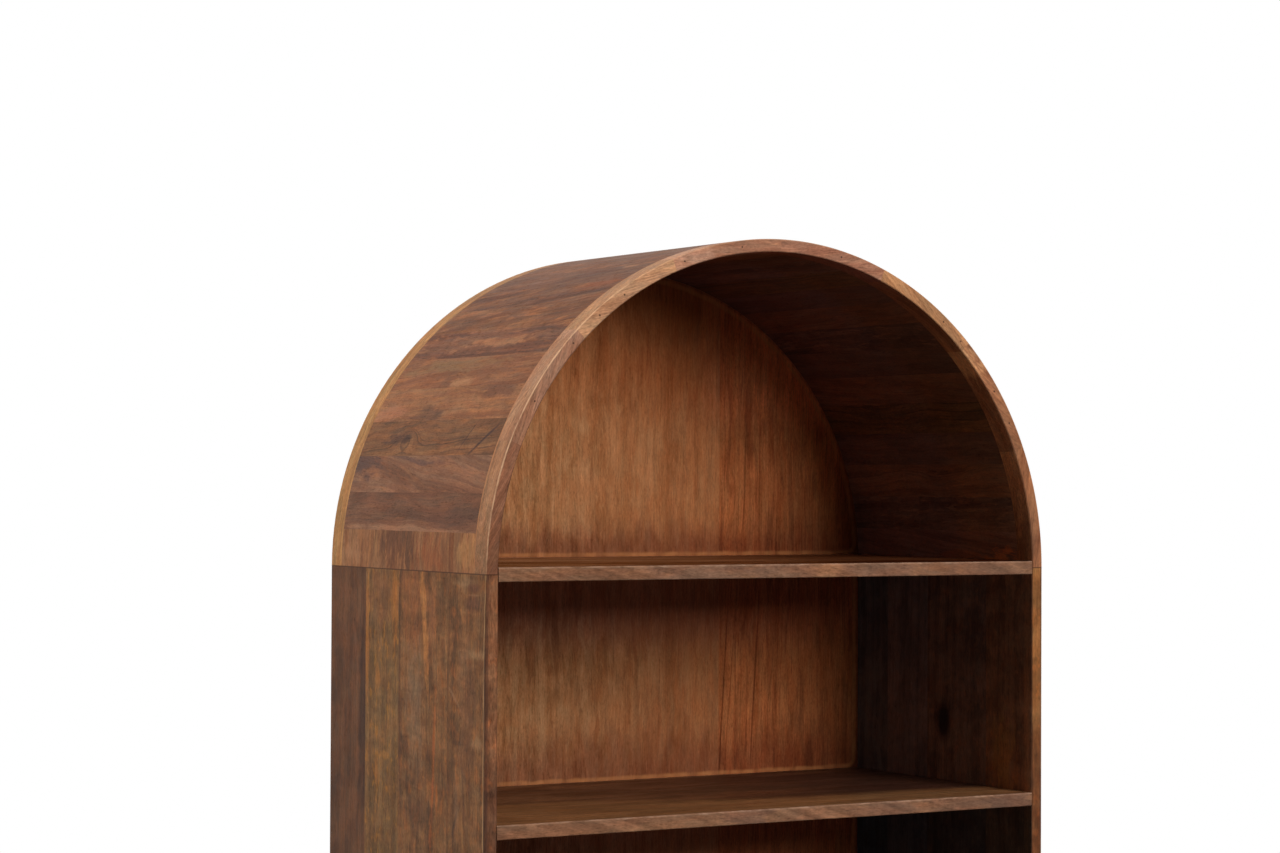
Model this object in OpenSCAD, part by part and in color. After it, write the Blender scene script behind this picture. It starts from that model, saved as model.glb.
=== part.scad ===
// Round-topped bookcase: a coopered half-circle arch on two edge-glued sides,
// fixed shelves in stopped housings, and an inset back panel.
// Origin at the middle of the footprint on the floor, +Z up, open front towards -Y.

/* [Carcass] */
// Overall width across the two sides
carcass_w = 900; // [760:10:1100]
// Overall depth from the front edge to the rear edge
carcass_d = 465; // [430:5:560]
// Thickness of the sides and of the arch
wall_t = 18; // [16:0.5:24]
// Radius of the eased front and rear edges
ease_r = 2; // [0.5:0.25:3]

/* [Shelves] */
// Bays below the arch
bay_count = 4; // [3:1:5]
// Height of one bay, from shelf centre to shelf centre
bay_pitch = 330; // [260:5:400]
// Thickness of the shelves and of the bottom board
shelf_t = 19; // [16:0.5:25]
// How far a shelf end goes into its housing in the side
housing_d = 6; // [4:0.5:7]

/* [Arch] */
// Staves in the half circle
stave_count = 27; // [20:1:27]
// Sawn segments in each lipping ring
segment_count = 8; // [6:1:10]
// Depth of a lipping ring, front to rear
lipping_d = 34; // [24:1:44]

/* [Side boards] */
// Width of the front board of each side
board_1_w = 107; // [90:1:125]
// Width of the second board
board_2_w = 143; // [100:1:150]
// Width of the third board; the rear board takes what is left
board_3_w = 102; // [80:1:110]

/* [Back and base] */
// Thickness of the veneered back panel
back_t = 12; // [6:1:18]
// Underside of the bottom board above the floor
base_h = 50; // [40:1:100]
// Thickness of the kick rails
kick_t = 18; // [12:1:24]
// How far the front kick rail stands back from the front edge
kick_setback = 25; // [0:1:60]

/* [Fastenings] */
// Diameter of the dowels that join the arch to the sides
dowel_dia = 6; // [5:0.5:8]
// Length of those dowels
dowel_l = 40; // [24:1:60]
// Shank diameter of the screws that hold the back panel
screw_dia = 4; // [3:0.5:5]
// Length of those screws
screw_l = 35; // [30:1:60]
// Head diameter of those screws
screw_head_dia = 8; // [7:0.5:10]
// Screws in each shelf
screw_count = 4; // [3:1:7]
// Distance of the outer screws from the inside of the sides
screw_inset = 60; // [20:5:150]
// Diameter of the floor glides
glide_dia = 15; // [10:1:16]
// Height of the floor glides
glide_h = 3; // [2:0.5:6]
// Distance of the glide centres from the front and rear edges
glide_inset = 40; // [20:5:100]

/* [Hidden] */
$fn = 96;

// Clearances
housing_fit = 0.1;     // above and below a shelf end in its housing
housing_end_gap = 0.5; // glue room at the bottom of a housing
scribe_fit = 0.1;      // top shelf against the curve of the arch
back_fit = 0.3;        // round the edge of the back panel
glue_line = 0.1;       // between the segments of the rear ring
dowel_fit = 0.05;      // round a dowel or a glide pin
dowel_end_gap = 1;     // glue room at the end of a dowel hole
screw_fit = 0.1;       // round a screw

// Glide pin, which goes up into the side
glide_pin_dia = 3;
glide_pin_l = 12;
screw_head_h = 2.5;

// Carcass
outer_r = carcass_w / 2;
inner_r = outer_r - wall_t;
front_y = -carcass_d / 2;
shelf_d = carcass_d - lipping_d;
stave_l = carcass_d - 2 * lipping_d;
springing_z = base_h + shelf_t / 2 + bay_count * bay_pitch;

// Side boards, counted from the front; board_y holds the front edge of each
board_count = 4;
board_w = [board_1_w, board_2_w, board_3_w, carcass_d - board_1_w - board_2_w - board_3_w];
board_y = [0, board_1_w, board_1_w + board_2_w, board_1_w + board_2_w + board_3_w];

// The top shelf stops short of the arch by what the curve comes in at its upper face
scribed_x = sqrt(pow(inner_r, 2) - pow(shelf_t / 2, 2)) - scribe_fit;

// Dowels stand in the middle of the wood outside the housings, one in each
// board and one in each ring foot
dowel_x = (inner_r + housing_d + outer_r) / 2;
dowel_y = concat(
    [lipping_d / 2],
    [for (i = [0:board_count - 1]) board_y[i] + board_w[i] / 2],
    [carcass_d - lipping_d / 2]
);
glide_y = [glide_inset, carcass_d - glide_inset];
screw_x = [for (i = [0:screw_count - 1])
    (2 * i / (screw_count - 1) - 1) * (inner_r - screw_inset)];

// Finish of the mango wood, board by board
stave_tones = ["#6b4230", "#54402c", "#5d3827", "#4d3425", "#6e4a33"];
ring_tones = ["#8a5a3c", "#7c4c37"];
board_tones = ["#6d4731", "#74533a", "#7a5735", "#523a2e"];

// Centre height of a shelf; 1 is the top one, bay_count + 1 the bottom board
function shelf_z(k) = springing_z - (k - 1) * bay_pitch;

// Section w across and d deep; the corners at depth 0 or d may be eased
module eased_section(w, d, front = false, rear = false) {
    front_r = front ? ease_r : 0;
    rear_r = rear ? ease_r : 0;
    translate([0, front_r]) square([w, d - front_r - rear_r]);
    if (front) edge_round(w);
    if (rear) translate([0, d]) mirror([0, 1]) edge_round(w);
}

// The last ease_r of an edge w wide, with both corners rounded
module edge_round(w) {
    translate([ease_r, 0]) square([w - 2 * ease_r, ease_r]);
    intersection() {
        square([w, ease_r]);
        for (x = [ease_r, w - ease_r]) translate([x, ease_r]) circle(ease_r);
    }
}

// Piece i of the n equal ones that make the half circle, counted from the left
// springing over the top; the section is drawn as radius by depth. The pieces
// past the middle are the first ones mirrored. A piece may stop short of the
// next one by a gap, measured along the outside.
module arch_piece(i, n, gap = 0) {
    past_middle = i > (n + 1) / 2;
    place = past_middle ? n + 1 - i : i;
    mirror([past_middle ? 1 : 0, 0, 0])
        translate([0, front_y, springing_z])
            rotate([-90, 0, 0])
                rotate([0, 0, 180 + (place - 1) * 180 / n])
                    rotate_extrude(angle = 180 / n - gap / outer_r * 180 / PI) children();
}

// Wood removed from sides and arch feet for the ends of every shelf
module housings() {
    h = shelf_t + 2 * housing_fit;
    for (k = [1:bay_count + 1])
        translate([0, front_y + lipping_d, shelf_z(k) - h / 2])
            translate([-inner_r - housing_d, 0, 0])
                cube([2 * (inner_r + housing_d), shelf_d - lipping_d, h]);
}

// Dowel solids, or their holes when grown by a clearance and lengthened
module dowel_set(grow = 0, longer = 0) {
    for (side = [-1, 1], y = dowel_y)
        translate([side * dowel_x, front_y + y, springing_z - dowel_l / 2 - longer])
            cylinder(d = dowel_dia + 2 * grow, h = dowel_l + 2 * longer);
}

// Glide solids with their pins, or only the pin holes
module glide_pins(grow = 0, longer = 0) {
    for (side = [-1, 1], y = glide_y)
        translate([side * (inner_r + wall_t / 2), front_y + y, glide_h])
            cylinder(d = glide_pin_dia + 2 * grow, h = glide_pin_l + longer);
}

// Countersunk screws through the back panel into each shelf
module screw_set(grow = 0) {
    for (k = [1:bay_count + 1], x = screw_x)
        translate([x, front_y + shelf_d + back_t, shelf_z(k)])
            rotate([90, 0, 0]) {
                cylinder(d = screw_dia + 2 * grow, h = screw_l + grow);
                cylinder(d1 = screw_head_dia + 2 * grow, d2 = screw_dia + 2 * grow, h = screw_head_h);
            }
}

// One stave of the arch, bevelled on both long edges
module stave(i) {
    color(stave_tones[(i * 7) % len(stave_tones)])
        difference() {
            arch_piece(i, stave_count)
                translate([inner_r, lipping_d]) square([wall_t, stave_l]);
            if (i == 1 || i == stave_count) {
                housings();
                dowel_set(dowel_fit, dowel_end_gap);
            }
        }
}

// One sawn segment of the front lipping ring
module front_segment(i) {
    color(ring_tones[i % len(ring_tones)])
        difference() {
            arch_piece(i, segment_count)
                translate([inner_r, 0]) eased_section(wall_t, lipping_d, front = true);
            if (i == 1 || i == segment_count) dowel_set(dowel_fit, dowel_end_gap);
        }
}

// The rear lipping ring, a separate solid for each of its segments
module rear_ring() {
    color(ring_tones[0])
        difference() {
            for (i = [1:segment_count])
                arch_piece(i, segment_count, glue_line)
                    translate([inner_r, carcass_d - lipping_d])
                        eased_section(wall_t, lipping_d, rear = true);
            dowel_set(dowel_fit, dowel_end_gap);
        }
}

// One board of the right-hand side, counted from the front
module right_side_board(i) {
    color(board_tones[i - 1])
        difference() {
            translate([inner_r, front_y + board_y[i - 1], glide_h])
                linear_extrude(springing_z - glide_h)
                    eased_section(wall_t, board_w[i - 1], front = i == 1, rear = i == board_count);
            housings();
            dowel_set(dowel_fit, dowel_end_gap);
            glide_pins(dowel_fit, dowel_end_gap);
        }
}

module left_side_board(i) {
    mirror([1, 0, 0]) right_side_board(i);
}

// Board of the shelf thickness from -half_l to half_l, its section starting at depth y
module shelf_slab(half_l, y, d, front = false) {
    translate([half_l, front_y + y, -shelf_t / 2])
        rotate([0, -90, 0])
            linear_extrude(2 * half_l) eased_section(shelf_t, d, front = front);
}

// A shelf with front shoulders against the walls and its ends in the housings
module shelf_board(k) {
    shoulder_x = k == 1 ? scribed_x : inner_r;
    difference() {
        translate([0, 0, shelf_z(k)]) {
            shelf_slab(shoulder_x, 0, shelf_d, front = true);
            shelf_slab(inner_r + housing_d - housing_end_gap, lipping_d, shelf_d - lipping_d);
        }
        screw_set(screw_fit);
    }
}

module shelf(k) {
    color("#6a4a33") shelf_board(k);
}

module bottom_board() {
    color("#64452f") shelf_board(bay_count + 1);
}

// Back panel between the sides, with a half-round top inside the rear ring
module back_panel() {
    panel_r = inner_r - back_fit;
    color("#8a5630")
        difference() {
            translate([0, front_y + shelf_d + back_t, 0])
                rotate([90, 0, 0])
                    linear_extrude(back_t) {
                        translate([-panel_r, base_h]) square([2 * panel_r, springing_z - base_h]);
                        translate([0, springing_z])
                            intersection() {
                                circle(panel_r, $fn = 180);
                                translate([-panel_r, 0]) square([2 * panel_r, panel_r]);
                            }
                    }
            screw_set(screw_fit);
        }
}

// Rail under the bottom board, its front face at depth y
module kick_rail(y) {
    translate([-inner_r, front_y + y, glide_h])
        cube([2 * inner_r, kick_t, base_h - glide_h]);
}

module front_kick_rail() {
    color("#5d3f2c") kick_rail(kick_setback);
}

module rear_kick_rail() {
    color("#5d3f2c") kick_rail(shelf_d + back_t - kick_t);
}

module foot_dowels() {
    color("#d9b98a") dowel_set();
}

module back_screws() {
    color("#8c8c88") screw_set();
}

module floor_glides() {
    color("#3a3a3a") {
        glide_pins();
        for (side = [-1, 1], y = glide_y)
            translate([side * (inner_r + wall_t / 2), front_y + y, 0])
                cylinder(d = glide_dia, h = glide_h);
    }
}

for (i = [1:stave_count])
    stave(i);
for (i = [1:segment_count])
    front_segment(i);
rear_ring();
for (i = [1:board_count])
    left_side_board(i);
for (i = [1:board_count])
    right_side_board(i);
for (k = [1:bay_count])
    shelf(k);
bottom_board();
back_panel();
front_kick_rail();
rear_kick_rail();
foot_dowels();
back_screws();
floor_glides();
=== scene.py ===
"""Looks of the round-topped bookcase: walnut-stained mango wood in soft studio light."""
import math
from functools import partial

import bpy
from mathutils import Matrix, Vector


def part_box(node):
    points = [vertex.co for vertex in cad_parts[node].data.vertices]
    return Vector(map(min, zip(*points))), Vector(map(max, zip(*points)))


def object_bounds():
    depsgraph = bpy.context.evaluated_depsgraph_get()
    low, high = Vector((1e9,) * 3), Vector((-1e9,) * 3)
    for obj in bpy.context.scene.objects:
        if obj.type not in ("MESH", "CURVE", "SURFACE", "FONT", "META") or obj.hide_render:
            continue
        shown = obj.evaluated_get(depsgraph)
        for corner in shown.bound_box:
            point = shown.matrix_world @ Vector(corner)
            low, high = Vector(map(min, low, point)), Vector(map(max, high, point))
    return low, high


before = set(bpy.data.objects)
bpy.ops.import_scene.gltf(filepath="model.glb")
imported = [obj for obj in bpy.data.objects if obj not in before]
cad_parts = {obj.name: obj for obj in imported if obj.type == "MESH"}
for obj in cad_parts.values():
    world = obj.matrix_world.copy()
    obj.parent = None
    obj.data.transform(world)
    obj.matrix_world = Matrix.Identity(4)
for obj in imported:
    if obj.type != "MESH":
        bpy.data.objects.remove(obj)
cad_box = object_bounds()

MM = 1000.0  # material patterns are drawn in millimetres, so noise scales are per millimetre

# Sizes read from the frame, in metres
LOW, HIGH = cad_box
OUTER_R = HIGH.x
FRONT_Y = LOW.y
REAR_Y = HIGH.y
SIDE_LOW, SIDE_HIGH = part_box("right_side_board_1")
INNER_R = SIDE_LOW.x
SPRINGING_Z = SIDE_HIGH.z
BAND_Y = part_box("stave_2")[0].y
SHELF_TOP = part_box("shelf_1")[1].z
SHELF_T = SHELF_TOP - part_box("shelf_1")[0].z
BAY_PITCH = SHELF_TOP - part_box("shelf_2")[1].z

STAVE_COUNT = 27
SEGMENT_COUNT = 8
ON_FACE = 0.6  # mm from a face within which a point counts as on it
WALL_SPECULAR = 0.05
SHELF_SPECULAR = 0.07  # the shelves are glossier

ALONG_X = Vector((1, 0, 0))
ALONG_Y = Vector((0, 1, 0))
ALONG_Z = Vector((0, 0, 1))


def srgb(red, green, blue):
    """A colour written as 0 to 255 screen values, as the linear values that shaders use."""
    def linear(value):
        value /= 255
        return value / 12.92 if value <= 0.04045 else ((value + 0.055) / 1.055) ** 2.4
    return (linear(red), linear(green), linear(blue), 1.0)


def screen_share(tint):
    """Shares of screen brightness in each colour, as the linear factors that shaders use."""
    return (*[share ** 2.2 for share in tint], 1.0)


# Colours of wear, dirt and joints, and of painted highlights, sheen and shade
ARCH_WEAR_AND_HIGHLIGHT = srgb(208, 164, 128)
SIDE_WEAR_AND_HIGHLIGHT = srgb(190, 148, 104)
SHELF_WEAR_AND_HIGHLIGHT = srgb(176, 140, 116)
SHELF_DUST_AND_SHEEN = srgb(121, 89, 74)
BACK_WEAR = srgb(186, 122, 74)
BACK_SHADE = srgb(96, 58, 38)
ORANGE_SEAM = srgb(180, 118, 76)
DARK_STRIP = srgb(68, 47, 41)
DARK_JOINT = srgb(62, 40, 30)
DARK_ARRIS = srgb(60, 38, 28)
DARK_PIN = srgb(54, 36, 30)
FRONT_STAIN = (0.66, 0.56, 0.56, 1)  # a tint of the front ring's face


class Graph:
    """A node tree under construction. Each method adds a node and returns its output socket."""

    def __init__(self, tree):
        self.tree = tree

    def add(self, kind, inputs=None, **settings):
        node = self.tree.nodes.new(kind)
        for name, value in settings.items():
            setattr(node, name, value)
        for key, value in (inputs or {}).items():
            if isinstance(value, bpy.types.NodeSocket):
                self.tree.links.new(value, node.inputs[key])
            else:
                node.inputs[key].default_value = value
        return node

    def math(self, operation, first, second=0.0, third=0.0):
        values = {0: first, 1: second, 2: third}
        return self.add("ShaderNodeMath", values, operation=operation).outputs[0]

    def plus(self, first, second):
        return self.math("ADD", first, second)

    def minus(self, first, second):
        return self.math("SUBTRACT", first, second)

    def times(self, first, second):
        return self.math("MULTIPLY", first, second)

    def most(self, first, second):
        return self.math("MAXIMUM", first, second)

    def size(self, value):
        """The value without its sign."""
        return self.math("ABSOLUTE", value)

    def length(self, first, second):
        """The length of the vector with these two parts."""
        squares = self.plus(self.times(first, first), self.times(second, second))
        return self.math("SQRT", squares)

    def dot(self, vector, axis):
        inputs = {0: vector, 1: tuple(axis)}
        node = self.add("ShaderNodeVectorMath", inputs, operation="DOT_PRODUCT")
        return node.outputs["Value"]

    def vector_sum(self, first, second):
        return self.add("ShaderNodeVectorMath", {0: first, 1: second}, operation="ADD").outputs[0]

    def combine(self, x, y, z):
        return self.add("ShaderNodeCombineXYZ", {0: x, 1: y, 2: z}).outputs[0]

    def split(self, vector):
        return self.add("ShaderNodeSeparateXYZ", {0: vector}).outputs

    def scaled(self, parts, scales):
        """The three coordinates, each times its own scale, as one vector."""
        return self.combine(*[self.times(part, scale) for part, scale in zip(parts, scales)])

    def noise(self, vector, detail=2.0, roughness=0.5, distortion=0.0):
        inputs = {"Vector": vector, "Scale": 1.0, "Detail": detail, "Roughness": roughness,
                  "Distortion": distortion}
        return self.add("ShaderNodeTexNoise", inputs).outputs[0]

    def cloud(self, parts, scales, *settings):
        """Noise over the three coordinates, each times its own scale."""
        return self.noise(self.scaled(parts, scales), *settings)

    def swing(self, parts, scales, *settings):
        """The same noise, swinging round nought."""
        return self.minus(self.cloud(parts, scales, *settings), 0.5)

    def noise_1d(self, value, detail=2.0, roughness=0.5):
        inputs = {"W": value, "Scale": 1.0, "Detail": detail, "Roughness": roughness}
        return self.add("ShaderNodeTexNoise", inputs, noise_dimensions="1D").outputs[0]

    def remap(self, value, low, high, to_low=0.0, to_high=1.0, smooth=True):
        """Takes low to to_low and high to to_high, held at the ends; low may be above high."""
        inputs = {"Value": value, "From Min": low, "From Max": high, "To Min": to_low,
                  "To Max": to_high}
        kind = "SMOOTHSTEP" if smooth else "LINEAR"
        return self.add("ShaderNodeMapRange", inputs, interpolation_type=kind).outputs[0]

    def blend(self, factor, first, second, kind="MIX"):
        inputs = {0: factor, 6: first, 7: second}
        settings = {"data_type": "RGBA", "blend_type": kind, "clamp_factor": True}
        return self.add("ShaderNodeMix", inputs, **settings).outputs[2]

    def tint(self, color, factors, amount=1.0):
        """The colour times the factors, as far as the amount says."""
        return self.blend(amount, color, factors, "MULTIPLY")

    def grey(self, value):
        """The value in all three parts of a colour or a vector."""
        return self.combine(value, value, value)

    def coat(self, inputs):
        """Ends a material with one shader over all of its surface."""
        shader = self.add("ShaderNodeBsdfPrincipled", inputs)
        self.add("ShaderNodeOutputMaterial", {"Surface": shader.outputs[0]})

    def position(self):
        """The point on the object in millimetres."""
        inputs = {0: self.add("ShaderNodeTexCoord").outputs["Object"], "Scale": MM}
        return self.add("ShaderNodeVectorMath", inputs, operation="SCALE").outputs[0]


def new_material(name):
    material = bpy.data.materials.new(name)
    material.use_nodes = True
    material.node_tree.nodes.clear()
    return material, Graph(material.node_tree)


def make_grain_group():
    """Stained mango wood in a board's own millimetres: X along the grain, Y across, Z through.

    Flow gives the place that the wandering grain runs through, and a raggedness, for marks.
    """
    tree = bpy.data.node_groups.new("mango_grain", "ShaderNodeTree")
    face = tree.interface
    for name in ("Point", "Seed", "Pith", "Knot"):
        face.new_socket(name, in_out="INPUT", socket_type="NodeSocketVector")
    for name in ("Dark", "Light", "Streak", "Gold"):
        face.new_socket(name, in_out="INPUT", socket_type="NodeSocketColor")
    for name in ("Stretch", "Fine", "Wander", "Streaks", "Flecks", "Figure", "Lines", "Contrast"):
        face.new_socket(name, in_out="INPUT", socket_type="NodeSocketFloat")
    results = {"Color": "Color", "Roughness": "Float", "Height": "Float", "Flow": "Vector",
               "Shade": "Color"}
    for name, kind in results.items():
        face.new_socket(name, in_out="OUTPUT", socket_type="NodeSocket" + kind)

    g = Graph(tree)
    given = g.add("NodeGroupInput").outputs
    u, v, w = g.split(given["Point"])
    tilt, pith_v, pith_w = g.split(given["Pith"])
    knot_u, knot_v, knot_size = g.split(given["Knot"])

    def sample(parts, scales, *settings):
        return g.noise(g.vector_sum(g.scaled(parts, scales), given["Seed"]), *settings)

    # The grain leans, wanders and swells round a knot
    v = g.plus(v, g.times(u, tilt))
    slow = g.minus(sample((u, v, w), (0.006, 0.014, 0.014), 1.0), 0.5)
    quick = g.minus(sample((u, v, w), (0.018, 0.035, 0.035), 2.0), 0.5)
    v = g.plus(v, g.times(g.plus(slow, g.times(quick, 0.25)), given["Wander"]))
    from_knot = g.length(g.times(g.minus(u, knot_u), 0.5), g.minus(v, knot_v))
    knot_d = g.math("DIVIDE", from_knot, knot_size)
    knot = g.math("EXPONENT", g.times(g.times(knot_d, knot_d), -0.7))
    swell = g.times(g.times(knot, knot_size), 1.6)

    # Growth rings round a pith that lies outside the board
    ring_r = g.plus(g.length(g.minus(v, pith_v), g.minus(w, pith_w)), swell)
    seed_x = g.split(given["Seed"])[0]
    broad = g.noise_1d(g.plus(g.times(ring_r, 0.07), seed_x), 3.0, 0.6)
    lines = g.noise_1d(g.plus(g.times(ring_r, 0.33), seed_x), 2.0, 0.55)
    thin = g.noise_1d(g.plus(g.times(ring_r, 0.9), seed_x), 1.0, 0.5)

    # Fibres, pores, colour patches, dark heart streaks, golden flecks and cross figure
    flow = (u, v, w)
    drawn_out = (g.times(u, given["Stretch"]), g.times(v, given["Fine"]), g.times(w, given["Fine"]))
    fibre = sample(drawn_out, (0.02, 0.34, 0.34), 3.0, 0.6)
    hair = sample(flow, (0.05, 0.65, 0.65), 3.0, 0.65)
    speck = sample(flow, (0.2, 0.5, 0.5), 2.0, 0.6)
    pore = sample(flow, (0.1, 0.6, 0.6), 1.0, 0.5)
    hue = sample(drawn_out, (0.016, 0.07, 0.07), 3.0, 0.6)
    patch = sample(drawn_out, (0.008, 0.03, 0.03), 2.0, 0.5, 0.5)
    streak = sample(drawn_out, (0.007, 0.06, 0.06), 2.0, 0.6, 0.6)
    fleck = sample(drawn_out, (0.02, 0.14, 0.14), 2.0, 0.6, 0.4)
    figure = sample(flow, (0.06, 0.02, 0.02), 2.0, 0.6, 0.8)

    light = g.times(g.remap(broad, 0.34, 0.66), 0.42)
    light = g.plus(light, g.times(g.remap(patch, 0.36, 0.64), 0.46))
    light = g.plus(light, g.times(g.remap(fibre, 0.3, 0.7), 0.12))
    color = g.blend(light, given["Dark"], given["Light"])
    color = g.blend(g.times(g.remap(fleck, 0.53, 0.68), given["Flecks"]), color, given["Gold"])
    color = g.blend(g.times(g.remap(streak, 0.53, 0.68), given["Streaks"]), color, given["Streak"])
    line = g.times(g.remap(lines, 0.56, 0.66), g.remap(patch, 0.4, 0.55))
    color = g.blend(g.times(line, given["Lines"]), color, given["Streak"])
    color = g.blend(g.times(g.remap(knot, 0.72, 1.0), 0.75), color, given["Streak"])

    # Fine light and dark, laid over the colour and over each mark
    tone = g.times(g.minus(fibre, 0.5), 0.7)
    tone = g.plus(tone, g.times(g.minus(hair, 0.5), 0.9))
    tone = g.plus(tone, g.times(g.minus(speck, 0.5), 1.0))
    tone = g.plus(tone, g.times(g.times(g.minus(thin, 0.5), 0.7), given["Lines"]))
    tone = g.plus(tone, g.times(g.times(g.minus(figure, 0.5), 2.0), given["Figure"]))
    tone = g.times(tone, given["Contrast"])
    pore_depth = g.remap(pore, 0.6, 0.7)
    tone = g.minus(g.plus(tone, 1.02), g.times(pore_depth, 0.2))
    warmth = g.blend(g.remap(hue, 0.35, 0.65), (0.95, 1.005, 0.99, 1), (1.06, 0.985, 0.91, 1))
    shade = g.tint(g.grey(tone), warmth)
    color = g.tint(color, shade)

    roughness = g.plus(g.remap(fibre, 0.3, 0.7, 0.42, 0.58), g.times(pore_depth, 0.15))
    height = g.plus(g.times(fibre, 0.5), g.times(hair, 0.35))
    height = g.minus(height, g.times(pore_depth, 0.6))
    rag = g.minus(sample((u, v, w), (0.03, 0.09, 0.09), 3.0, 0.6), 0.5)
    g.add("NodeGroupOutput", {
        "Color": color,
        "Roughness": roughness,
        "Height": height,
        "Flow": g.combine(u, v, rag),
        "Shade": shade,
    })
    return tree


GRAIN = make_grain_group()
NO_KNOT = (0.0, 5000.0, 10.0)  # far outside any board
NO_TINT = (1.0, 1.0, 1.0)
SEED_STEPS = (17.3, 5.1, 2.7)  # how far apart the patterns of two boards are taken

# Seeds start here for each group of boards but the staves, so that no two boards look alike
RING_SEED = 40
LEFT_SEED = 70
RIGHT_SEED = 80
SHELF_SEED = 90
RAIL_SEED = 100
VENEER_SEED = 110


class Wood:
    """The tones and figure of one kind of board."""

    def __init__(self, dark, light, streak, gold, stretch=1.0, fine=1.0, wander=26.0, streaks=0.5,
                 flecks=0.3, figure=0.12, lines=0.4, contrast=1.0):
        self.tones = {"Dark": srgb(*dark), "Light": srgb(*light), "Streak": srgb(*streak),
                      "Gold": srgb(*gold)}
        self.numbers = {"Stretch": stretch, "Fine": fine, "Wander": wander, "Streaks": streaks,
                        "Flecks": flecks, "Figure": figure, "Lines": lines, "Contrast": contrast}


class Mark:
    """A soft blotch or a long streak of another tone.

    at and size are in the board's own millimetres, along the grain and across it. slope leans the
    mark across the grain, and ragged says how torn its outline is. A steady mark stays in its place
    instead of following the wandering grain.
    """

    def __init__(self, at, size, tone, strength=0.7, slope=0.0, ragged=0.9, steady=False):
        self.at = at
        self.size = size
        self.tone = srgb(*tone)
        self.strength = strength
        self.slope = slope
        self.ragged = ragged
        self.steady = steady

    def paint(self, g, color, place, flow, shade):
        u, v, rag = g.split(flow)
        if self.steady:
            v = g.split(place)[1]
        along = g.minus(u, self.at[0])
        across = g.minus(g.minus(v, self.at[1]), g.times(along, self.slope))
        distance = g.length(g.times(along, 1 / self.size[0]), g.times(across, 1 / self.size[1]))
        distance = g.plus(distance, g.times(rag, self.ragged * 2.5))
        cover = g.remap(distance, 1.15, 0.35, 0.0, self.strength)
        return g.blend(cover, color, g.tint(self.tone, shade))


class Board:
    """How one board of the object looks: its wood, its place in the log and its own marks."""

    def __init__(self, wood, pith=(0.0, 40.0, -60.0), marks=(), knot=NO_KNOT, tint=NO_TINT,
                 inside=NO_TINT):
        self.wood = wood
        self.pith = pith
        self.marks = marks
        self.knot = knot
        self.tint = screen_share(tint)
        # The inner skin's tint is partly the board's own tone and partly painted light on the
        # shaded inside
        self.inside = screen_share(inside)  # the tint of the wall's inner skin


def wall_place(g):
    """The wall's radius in mm, with the sides taken as upright runs of the arch, then Y and Z."""
    x, y, z = g.split(g.position())
    above = g.most(g.minus(z, SPRINGING_Z * MM), 0.0)
    return g.length(x, above), x, y, z


def on_front(g, y):
    return g.math("LESS_THAN", y, FRONT_Y * MM + ON_FACE)


def on_inner_skin(g, radius):
    return g.math("LESS_THAN", radius, INNER_R * MM + ON_FACE)


def on_outer_skin(g, radius, reach):
    return g.math("GREATER_THAN", radius, OUTER_R * MM - reach)


def from_front_arris(g, radius, y, arris_radius):
    return g.length(g.minus(radius, arris_radius * MM), g.minus(y, FRONT_Y * MM))


def wear_near_arrises(g, radius, x, y, z):
    """Ragged distances to the outer and the inner front arris, the raggedness, and slow patches."""
    rag = g.swing((x, y, z), (0.03, 0.3, 0.03), 4.0, 0.65)
    outer = g.plus(from_front_arris(g, radius, y, OUTER_R), g.times(rag, 3.0))
    inner = g.plus(from_front_arris(g, radius, y, INNER_R), g.times(rag, 2.0))
    patches = g.cloud((x, y, z), (0.025, 0.0, 0.025), 3.0)
    return outer, inner, rag, patches


def worn_and_highlit_arch(g, color, face_stain):
    """Wear, stain and painted light along the edges of the front ring."""
    radius, x, y, z = wall_place(g)
    outer, inner, rag, patches = wear_near_arrises(g, radius, x, y, z)
    color = g.tint(color, FRONT_STAIN, g.times(on_front(g, y), face_stain))

    # The band inside the ring is redder, and lighter where it catches the light of the room
    rise = g.math("ARCTAN2", g.minus(z, SPRINGING_Z * MM), g.size(x))
    painted_light = g.times(g.remap(rise, 0.25, 0.5), g.remap(rise, 0.95, 0.7))
    band = g.blend(painted_light, (0.82, 0.62, 0.54, 1), (1.3, 1.1, 0.92, 1))
    color = g.tint(color, band, on_inner_skin(g, radius))

    # The band outside the ring is a little more golden
    on_skin = on_outer_skin(g, radius, 0.8)
    color = g.tint(color, (1.0, 0.98, 0.9, 1), on_skin)

    # Creamy wear and a painted highlight along the outer arris, strongest on the left shoulder,
    # fainter elsewhere
    height = g.minus(z, (SPRINGING_Z + 0.2) * MM)
    shoulder = g.times(g.remap(g.size(height), 220.0, 120.0), g.math("LESS_THAN", x, 0.0))
    broken = g.cloud((x, y, z), (0.0, 0.0, 0.06), 2.0)
    shoulder = g.times(shoulder, g.remap(broken, 0.35, 0.6, 0.15, 0.9))
    strength = g.plus(g.times(shoulder, 0.75), g.remap(patches, 0.35, 0.65, 0.15, 0.45))
    color = g.blend(g.times(g.remap(outer, 2.0, 0.8), strength), color, ARCH_WEAR_AND_HIGHLIGHT)
    color = g.blend(g.remap(inner, 2.4, 1.0, 0.0, 0.55), color, DARK_ARRIS)

    # Orange line where the ring's band meets the staves
    seam = g.size(g.minus(y, BAND_Y * MM - 1.2))
    seam = g.times(g.remap(g.plus(seam, g.times(rag, 1.5)), 1.6, 0.5, 0.0, 0.55), on_skin)
    return g.blend(seam, color, ORANGE_SEAM)


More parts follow.
